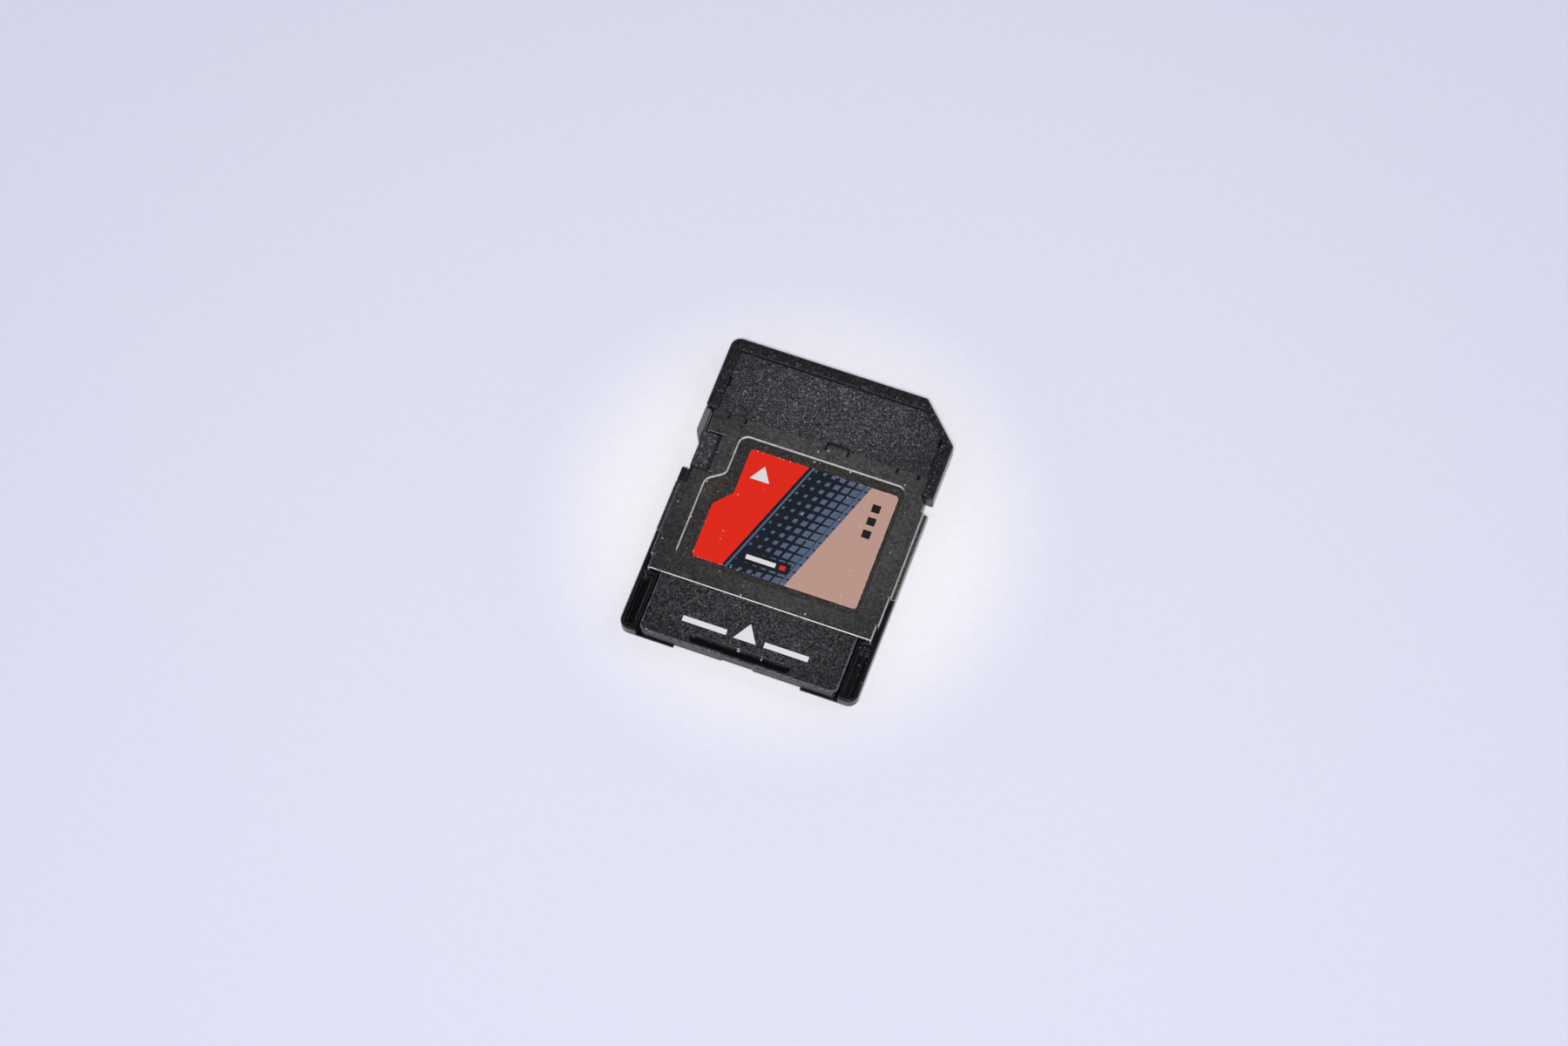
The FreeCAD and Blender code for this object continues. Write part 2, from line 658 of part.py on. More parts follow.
def tabs():
    """Middle and width of the three tabs of the metal cover."""
    return [
        (left + sizes.left_tab, sizes.left_tab_wide),
        (sizes.mid_tab, sizes.mid_tab_wide),
        (right - sizes.right_tab, sizes.right_tab_wide),
    ]


def make_front_cover():
    body = new_body("front_cover")
    panel_left = left + sizes.rim_side + sizes.rim_gap
    panel_right = right - sizes.rim_side - sizes.rim_gap
    panel_front = front - sizes.rim_front - sizes.rim_gap
    cut = panel_corner(sizes.rim_gap)
    back = seam + sizes.rim_gap
    outline = [
        (panel_left, back, None),
        (panel_right, back, None),
        cut[0],
        cut[1],
        (panel_left, panel_front, None),
    ]
    top = sizes.thick - sizes.panel_drop
    pad(body, "Plate", rail_high, top, [outline])
    hollow_rear = back + sizes.tab_reach + sizes.panel_wall
    hollow = [
        (panel_left + sizes.panel_wall, hollow_rear, None),
        (panel_right - sizes.panel_wall, hollow_rear, None),
        (panel_right - sizes.panel_wall, cut[0][1] - sizes.panel_cut_wall, None),
        (cut[1][0] - sizes.panel_cut_wall, panel_front - sizes.panel_wall, None),
        (panel_left + sizes.panel_wall, panel_front - sizes.panel_wall, None),
    ]
    below = rail_high - sizes.overrun
    pocket(body, "Hollow", below, top - sizes.panel_skin, [hollow])
    seats = []
    seat_front = seam + sizes.tab_reach + sizes.seat_gap
    for middle, width in tabs():
        half = width / 2 + sizes.seat_gap
        seats.append(rectangle(middle - half, middle + half, seam - sizes.overrun, seat_front))
    pocket(body, "TabSeats", below, sheet_under + sizes.tab_thick_gap, seats)
    above = top + sizes.overrun
    tab_half = sizes.mid_tab_wide / 2 + sizes.seat_gap
    tab_slot = rectangle(
        sizes.mid_tab - tab_half, sizes.mid_tab + tab_half,
        seam - sizes.overrun, back + sizes.tab_slot_long)
    pocket(body, "TabSlot", below, above, [tab_slot])
    pockets = []
    for side, from_front in (
        (1, sizes.right_pocket_ahead),
        (1, sizes.right_pocket_behind),
        (-1, sizes.left_pocket),
    ):
        inner = (panel_right - sizes.seam_pocket_wide) * side
        outer = (panel_right + sizes.overrun) * side
        x_low, x_high = (inner, outer) if side > 0 else (outer, inner)
        pocket_front = front - from_front
        pockets.append(rectangle(x_low, x_high, pocket_front - sizes.seam_pocket_long, pocket_front))
    pocket(body, "SeamPockets", below, above, pockets)


# Folded metal cover

def sunken_outline(grow):
    """The sunken panel's edge, grown outwards all round."""
    outer = sizes.sunk_round + grow
    panel_left = left + sizes.sunk_left - grow
    panel_right = right - sizes.sunk_right + grow
    panel_rear = rear + sizes.sunk_rear - grow
    panel_front = front - sizes.sunk_front + grow
    jog_x = panel_left + sizes.sunk_jog
    slant = grow * jog_slant
    return [
        (panel_left, panel_rear, outer),
        (panel_right, panel_rear, outer),
        (panel_right, panel_front, outer),
        (jog_x, panel_front, outer),
        (jog_x, jog_front + slant, sizes.sunk_round),
        (panel_left, jog_rear + slant, sizes.sunk_round),
    ]


def fold(body, name, side, edge_in, y_low, y_high, foot_in=None):
    """Fold one side edge down to the rail, or down and out along it to a foot."""
    outer = right - edge_in
    inner = outer - sizes.bend_in
    deep = outer - sizes.sheet_thick
    tight = sizes.bend_round - sizes.sheet_thick
    shape = [(inner, sheet_top, None), (outer, sheet_top, sizes.bend_round)]
    if foot_in is None:
        shape.append((outer, rail_high, None))
    else:
        end = right - foot_in
        foot_top = rail_high + sizes.sheet_thick
        shape.append((outer, foot_top, tight))
        shape.append((end, foot_top, None))
        shape.append((end, rail_high, None))
    shape.append((deep, rail_high, None))
    shape.append((deep, sheet_under, tight))
    shape.append((inner, sheet_under, None))
    placed = [(x * side, z, radius) for x, z, radius in shape]
    sketch = draw(body, name + "_section", "XZ_Plane", -y_high, [placed])
    extrude("PartDesign::Pad", body, name, sketch, y_high - y_low, False)


def make_metal_cover():
    body = new_body("metal_cover")
    slit = sizes.step_gap / 2
    rear_left = left + sizes.rear_edge_in + sizes.bend_in
    rear_right = right - sizes.rear_edge_in - sizes.bend_in
    mid_left = left + sizes.left_edge_in + sizes.bend_in
    mid_right = right - sizes.right_edge_in - sizes.bend_in
    foot_right = right - sizes.right_foot_in - sizes.bend_in
    front_left = left + sizes.front_edge_in + sizes.bend_in
    sill_right = inner_left + sizes.sill_wide + sizes.sill_gap
    relief_right = sill_right + sizes.relief_wide
    tick_rear = (sill_rear + sill_front - sizes.tick_long) / 2
    stop_right = inner_left + sizes.inner_stop_wide + sizes.stop_edge_gap
    right_lip = right - sizes.notch_deep
    right_rim = right - sizes.rim_side - sizes.rim_gap
    lip_front = notch_front - sizes.lip_gap
    outline = [
        (rear_left, sheet_rear, None),
        (rear_right, sheet_rear, None),
        (rear_right, right_step, None),
        (mid_right, right_step, None),
        (mid_right, right_foot_rear, None),
        (foot_right, right_foot_rear, None),
        (foot_right, right_foot_front, None),
        (right_lip, right_foot_front, None),
        (right_lip, lip_front - sizes.lip_cut, sizes.cut_round),
        (right_rim, lip_front, None),
        (right_rim, seam, None),
        (front_left, seam, None),
        (front_left, sill_front + sizes.sill_gap, None),
        (relief_right, sill_front + sizes.sill_gap, None),
        (relief_right, sill_front, None),
        (sill_right, sill_front, None),
        (sill_right, tick_rear + sizes.tick_long, None),
        (sill_right + sizes.tick_wide, tick_rear + sizes.tick_long, None),
        (sill_right + sizes.tick_wide, tick_rear, None),
        (sill_right, tick_rear, None),
        (sill_right, sill_rear, None),
        (relief_right, sill_rear, None),
        (relief_right, sill_rear - sizes.sill_gap, None),
        (stop_right, sill_rear - sizes.sill_gap, None),
        (stop_right, left_foot_front, None),
        (mid_left, left_foot_front, None),
        (mid_left, left_step, None),
        (rear_left, left_step, None),
    ]
    pad(body, "TopSheet", sheet_under, sheet_top, [outline])
    soften("Fillet", body, "RearEdge", sizes.sheet_round, lambda edge: (
        level(edge, sheet_top) and close(edge.YMax, sheet_rear.value)))
    fold(body, "LeftRearFold", -1, sizes.rear_edge_in, sheet_rear, left_step - slit)
    fold(body, "LeftFold", -1, sizes.left_edge_in, left_step + slit, left_foot_rear)
    fold(body, "LeftFoot", -1, sizes.left_edge_in, left_foot_rear, left_foot_front,
         sizes.foot_inset)
    fold(body, "LeftFrontFold", -1, sizes.front_edge_in, sill_front + sizes.sill_gap, seam)
    fold(body, "RightRearFold", 1, sizes.rear_edge_in, sheet_rear, right_step - slit)
    fold(body, "RightFold", 1, sizes.right_edge_in, right_step + slit, right_foot_rear - slit)
    fold(body, "RightFoot", 1, sizes.right_foot_in, right_foot_rear + slit, right_foot_front,
         sizes.foot_inset)

    pad(body, "SunkenPanel", slot_roof, sheet_under, [sunken_outline(sizes.sheet_thick)])
    above = sheet_top + sizes.overrun
    sinking = sunken_outline(as_size(0))
    pocket(body, "Sinking", sunk_top, above, [sinking])
    (sunk_x_low, sunk_y_low), (sunk_x_high, sunk_y_high) = (
        [place.value for place in sinking[corner][:2]] for corner in (0, 2))
    soften("Chamfer", body, "PanelSlant", sizes.sunk - sizes.sunk_foot, lambda edge: (
        level(edge, sheet_top)
        and edge.XMin > sunk_x_low - SAME_PLACE and edge.XMax < sunk_x_high + SAME_PLACE
        and edge.YMin > sunk_y_low - SAME_PLACE and edge.YMax < sunk_y_high + SAME_PLACE))

    slits = []
    tongues = []
    notch_low = seam - sizes.tab_notch_long
    notch_high = seam + sizes.overrun
    for middle, width in tabs():
        low = middle - width / 2
        high = middle + width / 2
        slits.append(rectangle(low - sizes.tab_notch_wide, low, notch_low, notch_high))
        slits.append(rectangle(high, high + sizes.tab_notch_wide, notch_low, notch_high))
        tongues.append(rectangle(low, high, seam - sizes.tab_root, seam + sizes.tab_reach))
    tab_low = sheet_under - sizes.sheet_thick
    pocket(body, "TabSlits", tab_low, above, slits)
    pad(body, "Tabs", tab_low, sheet_under, tongues)


def make_label():
    body = new_body("label")
    label_left = left + sizes.sunk_left + sizes.label_left
    label_right = right - sizes.sunk_right - sizes.label_right
    label_rear = rear + sizes.sunk_rear + sizes.label_rear
    label_front = front - sizes.sunk_front - sizes.label_front
    jog_x = label_left + sizes.label_jog
    jog_high = jog_front - (jog_front - label_rear) * label_jog_front_share
    jog_low = jog_rear - (jog_rear - label_rear) * label_jog_rear_share
    outline = [
        (label_left, label_rear, sizes.label_round),
        (label_right, label_rear, sizes.label_round),
        (label_right, label_front, sizes.label_round),
        (jog_x, label_front, sizes.label_round),
        (jog_x, jog_high, sizes.label_round),
        (label_left, jog_low, sizes.label_round),
    ]
    pad(body, "Film", sunk_top, sunk_top + sizes.label_thick, [outline])


# Write lock

def make_lock_slider():
    body = new_body("lock_slider")
    front_end = lock_slot_front - sizes.lock_end_gap
    rear_end = front_end - sizes.lock_long
    lock_right = inner_left - sizes.lock_side_gap
    outline = [
        (left, front_end, None),
        (left, rear_end + sizes.lock_slant_long, sizes.lock_slant_wide),
        (left + sizes.lock_slant_wide, rear_end, None),
        (lock_right, rear_end, None),
        (lock_right, front_end, None),
    ]
    lock_top = rail_high + sizes.lock_rise
    pad(body, "Grip", sizes.lock_low, lock_top, [outline])
    soften("Fillet", body, "GripEdges", sizes.lock_round, lambda edge: level(edge, lock_top))
    tongue = rectangle(
        lock_right - sizes.lock_side_gap, inner_left + sizes.groove_deep - sizes.tongue_gap,
        rear_end, front_end)
    tongue_low = groove_low + sizes.tongue_gap
    tongue_high = groove_low + sizes.groove_high - sizes.tongue_gap
    pad(body, "Tongue", tongue_low, tongue_high, [tongue])


# Contacts and the bar that holds them

def make_contact(number, place, arm_x):
    body = new_body(f"contact_{number}")
    middle, width, pad_rear, pad_front = place
    root = slot_front + sizes.rim_gap
    neck = root + sizes.neck_long
    half = width / 2
    arm_half = spring_wide / 2
    low = sizes.pad_recess
    flat = [
        (middle - half, pad_front, None),
        (middle - half, pad_rear, None),
        (arm_x - arm_half, neck, None),
        (arm_x - arm_half, root, None),
        (arm_x + arm_half, root, None),
        (arm_x + arm_half, neck, None),
        (middle + half, pad_rear, None),
        (middle + half, pad_front, None),
    ]
    pad(body, f"Strip_{number}", low, contact_top, [flat])
    join = root + sizes.neck_long / 2
    tip = root - sizes.spring_long
    bump = tip + sizes.bump_from_tip
    heel = bump + sizes.bump_from_tip
    bump_top = card_pad_level - sizes.card_pad_thick - sizes.bump_gap
    tip_top = bump_top - sizes.tip_drop
    section = [
        (join, contact_top, None),
        (slot_front, contact_top, None),
        (heel, contact_top - sizes.heel_drop, sizes.spring_round),
        (bump, bump_top, sizes.spring_round),
        (tip, tip_top, None),
        (tip, tip_top - sizes.contact_thick, None),
        (bump, bump_top - sizes.contact_thick, sizes.spring_round),
        (heel, low - sizes.heel_drop, sizes.spring_round),
        (slot_front, low, None),
        (join, low, None),
    ]
    sketch = draw(body, f"Spring_{number}_section", "YZ_Plane", arm_x - arm_half, [section])
    extrude("PartDesign::Pad", body, f"Spring_{number}", sketch, spring_wide, False)


def make_contact_carrier():
    half = slot_half - sizes.carrier_gap
    low = slot_front + sizes.carrier_gap
    high = low + sizes.carrier_long
    box("contact_carrier", -half, half, low, high, contact_top, rail_high)


# Small card: two shells, board, pads and chips

def card_outline(inset_side, inset_rear, inset_front, radius):
    half = card_half - inset_side
    return rectangle(-half, half, card_rear + inset_rear, card_front - inset_front, radius)


def scoop(depth_in):
    half = sizes.scoop_wide / 2
    return rectangle(-half, half, card_rear - sizes.overrun, card_rear + depth_in)


def make_card_bottom_shell():
    body = new_body("card_bottom_shell")
    flush = as_size(0)
    outline = card_outline(flush, flush, flush, sizes.card_round)
    pad(body, "Shell", card_bottom, parting, [outline])
    soften("Chamfer", body, "LowerEdge", sizes.card_under_bevel, lambda edge: (
        level(edge, card_bottom)))
    above = parting + sizes.overrun
    bed = card_outline(
        sizes.card_wall, sizes.card_rear_wall, sizes.card_front_wall, sizes.card_room_round)
    pocket(body, "BoardBed", card_pad_level, above, [bed])
    windows = []
    window_rear = card_front - sizes.card_pad_inset - sizes.card_pad_long - sizes.card_rib_gap
    half = card_pad_wide / 2 + sizes.card_rib_gap
    for middle in card_pad_middles():
        windows.append(rectangle(
            middle - half, middle + half, window_rear, card_front + sizes.overrun))
    below = card_bottom - sizes.overrun
    pocket(body, "PadWindows", below, card_pad_level + sizes.overrun, windows)
    pocket(body, "Scoop", below, above, [scoop(sizes.scoop_in)])


def make_card_top_shell():
    body = new_body("card_top_shell")
    flush = as_size(0)
    outline = card_outline(flush, flush, flush, sizes.card_round)
    pad(body, "Shell", parting, card_top, [outline])
    soften("Chamfer", body, "UpperEdge", sizes.card_top_bevel, lambda edge: (
        level(edge, card_top)))
    room = card_outline(
        sizes.card_wall, sizes.card_rear_wall, sizes.card_wall, sizes.card_room_round)
    below = parting - sizes.overrun
    above = card_top + sizes.overrun
    pocket(body, "Room", below, card_top - sizes.card_skin, [room])
    half = sizes.groove_wide / 2
    groove_rear = card_rear + sizes.groove_from_rear
    groove_front = groove_rear + sizes.groove_long
    thumb = rectangle(-half, half, groove_rear, groove_front, sizes.groove_round)
    pocket(body, "ThumbGroove", card_top - sizes.groove_sink, above, [thumb])
    pocket(body, "Scoop", below, above, [scoop(sizes.scoop_in)])
    lip = scoop(sizes.groove_from_rear + sizes.lip_overlap)
    pocket(body, "LoweredLip", card_top - sizes.scoop_low, above, [lip])


def make_card_inside():
    board_half = card_half - sizes.card_wall - sizes.board_gap
    board_rear = card_rear + sizes.card_rear_wall + sizes.board_gap
    board_front = card_front - sizes.card_wall - sizes.board_gap
    box("card_board", -board_half, board_half, board_rear, board_front, card_pad_level, board_top)
    half = card_pad_wide / 2
    pad_low = card_pad_level - sizes.card_pad_thick
    pad_front = card_front - sizes.card_pad_inset
    pad_rear = pad_front - sizes.card_pad_long
    for number, middle in enumerate(card_pad_middles(), start=1):
        box(f"card_pad_{number}", middle - half, middle + half,
            pad_rear, pad_front, pad_low, card_pad_level)
    chip_top = card_top - sizes.card_skin - sizes.chip_top_gap
    half = sizes.controller_side / 2
    controller_front = card_front - sizes.controller_from_front
    controller_rear = controller_front - sizes.controller_side
    box("controller_chip", -half, half, controller_rear, controller_front, board_top, chip_top)
    half = card_half - sizes.flash_side
    flash_rear = card_rear + sizes.flash_from_rear
    flash_front = controller_rear - sizes.chip_gap
    box("flash_chip", -half, half, flash_rear, flash_front, board_top, chip_top)


def check_and_export():
    doc.recompute()
    for thing in doc.Objects:
        if "Invalid" in thing.State or "Error" in thing.State:
            raise RuntimeError(f"{thing.Label} did not build: {thing.State}")
    kinds = ("PartDesign::Body", "Part::Box")
    pieces = [thing for thing in doc.Objects if thing.TypeId in kinds]
    for piece in pieces:
        shape = piece.Shape
        if shape.isNull() or not shape.isValid() or len(shape.Solids) != 1:
            raise RuntimeError(f"{piece.Label} is not one valid solid: {len(shape.Solids)}")
    os.makedirs("parts", exist_ok=True)
    for piece in pieces:
        piece.Shape.exportStep(f"parts/{piece.Label}.step")
        print(f"{piece.Label}: {piece.Shape.Volume:.3f} mm3")


make_base_frame()
make_front_cover()
make_metal_cover()
make_label()
make_lock_slider()
for index, place in enumerate(contact_places()):
    spring_x = card_pitch * ((contact_count - 1) / 2 - index)
    make_contact(index + 1, place, spring_x)
make_contact_carrier()
make_card_bottom_shell()
make_card_top_shell()
make_card_inside()
check_and_export()
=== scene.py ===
import math
import bpy
from mathutils import Matrix, Vector


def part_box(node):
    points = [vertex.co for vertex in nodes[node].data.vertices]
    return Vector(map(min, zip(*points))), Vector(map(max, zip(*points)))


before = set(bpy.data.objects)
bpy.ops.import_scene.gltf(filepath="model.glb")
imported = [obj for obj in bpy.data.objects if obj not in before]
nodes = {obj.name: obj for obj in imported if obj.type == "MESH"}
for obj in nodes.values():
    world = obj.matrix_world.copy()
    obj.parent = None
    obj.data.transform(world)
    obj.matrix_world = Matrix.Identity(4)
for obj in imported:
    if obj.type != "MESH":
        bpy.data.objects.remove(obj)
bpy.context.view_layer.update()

MM = 0.001

# Heights and places of the real pieces, in millimetres, read from the pieces in model.glb


def corners(node):
    """Lowest and highest corner of a node, in millimetres."""
    low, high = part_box(node)
    return low / MM, high / MM


body_high = corners("base_frame")[1]
cover_high = corners("front_cover")[1]
metal_low, metal_high = corners("metal_cover")
label_low, label_high = corners("label")
card_high = corners("card_top_shell")[1]

PANEL_DEPTH = 0.13  # sunken panel below the sheet
METAL_SEAM = body_high.y - 8  # where the metal meets the front panel
RAIL_HIGH = metal_low.z + 0.02  # top of the side rails, just over the metal's feet

GAP_BLACK = (0.003, 0.003, 0.003)  # painted shade in parting lines and slits


class Field:
    """A number that varies over a surface. Its operators add Math nodes."""

    def __init__(self, paint, socket):
        self.paint = paint
        self.socket = socket

    def __add__(self, other):
        return self.paint.maths("ADD", self, other)

    def __radd__(self, other):
        return self.paint.maths("ADD", other, self)

    def __sub__(self, other):
        return self.paint.maths("SUBTRACT", self, other)

    def __rsub__(self, other):
        return self.paint.maths("SUBTRACT", other, self)

    def __mul__(self, other):
        return self.paint.maths("MULTIPLY", self, other)

    def __truediv__(self, other):
        return self.paint.maths("DIVIDE", self, other)

    def __pow__(self, power):
        return self.paint.maths("POWER", self, power)

    def __lt__(self, other):
        return self.paint.maths("LESS_THAN", self, other)

    def __gt__(self, other):
        return self.paint.maths("GREATER_THAN", self, other)

    def __abs__(self):
        return self.paint.maths("ABSOLUTE", self)

    def least(self, other):
        return self.paint.maths("MINIMUM", self, other)

    def most(self, other):
        return self.paint.maths("MAXIMUM", self, other)

    def part(self):
        """What is left after the whole number."""
        return self.paint.maths("FRACT", self)

    def rise(self, low, high):
        """0 up to low and 1 from high on, with a smooth change between."""
        node = self.paint.node(
            "ShaderNodeMapRange", {"interpolation_type": "SMOOTHSTEP"},
            {"Value": self, "From Min": low, "From Max": high})
        return Field(self.paint, node.outputs["Result"])

    def fall(self, low, high):
        """1 up to low and 0 from high on, with a smooth change between."""
        return 1 - self.rise(low, high)

    def between(self, low, high, soft=0.02):
        """1 inside a span and 0 outside it, with soft ends."""
        return self.rise(low - soft, low + soft) * self.fall(high - soft, high + soft)


class Paint:
    """A material, with the surface's own millimetres as x, y and z."""

    def __init__(self, name):
        self.material = bpy.data.materials.new(name)
        self.material.use_nodes = True
        self.tree = self.material.node_tree
        self.surface = self.tree.nodes["Principled BSDF"]
        place = self.node("ShaderNodeTexCoord").outputs["Object"]
        scaled = self.node(
            "ShaderNodeVectorMath", {"operation": "SCALE"}, {0: place, "Scale": 1 / MM})
        self.place = scaled.outputs[0]
        split = self.node("ShaderNodeSeparateXYZ", {}, {0: self.place})
        self.x, self.y, self.z = (Field(self, socket) for socket in split.outputs)
        flat = self.node("ShaderNodeNewGeometry").outputs["Normal"]
        facing = self.node("ShaderNodeSeparateXYZ", {}, {0: flat})
        self.facing_across, self.facing_ahead, self.facing_up = (
            Field(self, socket) for socket in facing.outputs)

    def node(self, kind, settings=None, inputs=None):
        """Add any node: its settings first, then the values or links of its sockets."""
        node = self.tree.nodes.new(kind)
        for setting, value in (settings or {}).items():
            setattr(node, setting, value)
        for socket, value in (inputs or {}).items():
            self.feed(node.inputs[socket], value)
        return node

    def feed(self, socket, value):
        """Link a field or an output to a socket, or set the socket's own value."""
        if isinstance(value, Field):
            value = value.socket
        if isinstance(value, bpy.types.NodeSocket):
            self.tree.links.new(value, socket)
        elif isinstance(value, tuple) and socket.type == "RGBA":
            socket.default_value = (*value, 1)
        else:
            socket.default_value = value

    def maths(self, operation, first, second=0.0):
        node = self.node("ShaderNodeMath", {"operation": operation}, {0: first, 1: second})
        return Field(self, node.outputs[0])

    def mix(self, factor, first, second):
        """The first colour where the factor is 0, and the second where it is 1."""
        node = self.node("ShaderNodeMix", {"data_type": "RGBA"}, {"Factor": factor})
        first_colour, second_colour, mixed = node.inputs[6], node.inputs[7], node.outputs[2]
        self.feed(first_colour, first)
        self.feed(second_colour, second)
        return mixed

    def stretched(self, stretch):
        """The surface's place, multiplied along each axis."""
        node = self.node(
            "ShaderNodeVectorMath", {"operation": "MULTIPLY"}, {0: self.place, 1: stretch})
        return node.outputs[0]

    def noise(self, per_mm, detail=2.0, roughness=0.5, stretch=(1, 1, 1)):
        """Cloudy noise from 0 to 1, with about so many lumps a millimetre."""
        node = self.node("ShaderNodeTexNoise", {}, {
            "Vector": self.stretched(stretch), "Scale": per_mm,
            "Detail": detail, "Roughness": roughness})
        return Field(self, node.outputs["Fac"])

    def grains(self, per_mm):
        """Distance to the nearest grain's middle, and two random numbers for each grain."""
        node = self.node("ShaderNodeTexVoronoi", {}, {"Vector": self.place, "Scale": per_mm})
        numbers = self.node("ShaderNodeSeparateColor", {}, {0: node.outputs["Color"]})
        return tuple(Field(self, socket) for socket in (
            node.outputs["Distance"], numbers.outputs["Red"], numbers.outputs["Green"]))

    def specks(self, per_mm, size, share):
        """Small spots, as dust leaves them: a share of the cells holds one each."""
        distance, number, _ = self.grains(per_mm)
        return (distance < number * size) * (number > 1 - share)

    def spot(self, x, y, half_x, half_y):
        """An oval spot on the surface, seen from above."""
        return ((self.x - x) / half_x) ** 2 + ((self.y - y) / half_y) ** 2 < 1

    def patch(self, x, y, half_x, half_y):
        """A rectangle on the surface, seen from above."""
        return (abs(self.x - x) < half_x) * (abs(self.y - y) < half_y)

    def glow(self, x, y, half_x, half_y):
        """1 at a place and 0 beyond an oval round it, with a smooth change between."""
        return (((self.x - x) / half_x) ** 2 + ((self.y - y) / half_y) ** 2).fall(0, 1)

    def upward(self):
        """1 on faces that look up and 0 on walls and steep slants."""
        return self.facing_up.rise(0.6, 0.9)

    def painted_glints(self, per_mm, share, colour, strength):
        """Laid over a colour: painted glints, grains painted lighter as if they caught the lamp,
        bluish, neutral or warm.
        """
        bluish, neutral, warm = (0.42, 0.52, 0.74), (0.66, 0.66, 0.68), (0.78, 0.64, 0.42)
        distance, number, tint = self.grains(per_mm)
        lights = number.rise(1 - share, 1.1) * distance.fall(0.15, 0.6)
        cool = self.mix(tint.rise(0.1, 0.5), bluish, neutral)
        light = self.mix(tint.rise(0.6, 0.95), cool, warm)
        return self.mix(lights * strength, colour, light)

    def soft_edges(self, radius):
        """The normal over edges worn to a radius, in millimetres."""
        return self.node("ShaderNodeBevel", {"samples": 6}, {"Radius": radius * MM}).outputs[0]

    def edge_wear_and_highlight(self, radius):
        """1 along the edges of the piece and 0 on its open faces."""
        flat = self.node("ShaderNodeNewGeometry").outputs["Normal"]
        dot = self.node(
            "ShaderNodeVectorMath", {"operation": "DOT_PRODUCT"},
            {0: self.soft_edges(radius), 1: flat})
        return 1 - Field(self, dot.outputs["Value"])

    def relief(self, height, depth, normal=None):
        """The normal over a field of heights, whose full range is a depth in millimetres."""
        inputs = {"Height": height, "Distance": depth * MM, "Strength": 1.0}
        if normal is not None:
            inputs["Normal"] = normal
        return self.node("ShaderNodeBump", {}, inputs).outputs[0]

    def coat(self, **inputs):
        """Set the surface's own sockets, named with underscores for blanks."""
        for name, value in inputs.items():
            socket_name = name.replace("_", " ").title().replace("Ior", "IOR")
            self.feed(self.surface.inputs[socket_name], value)
        return self.material


# Materials

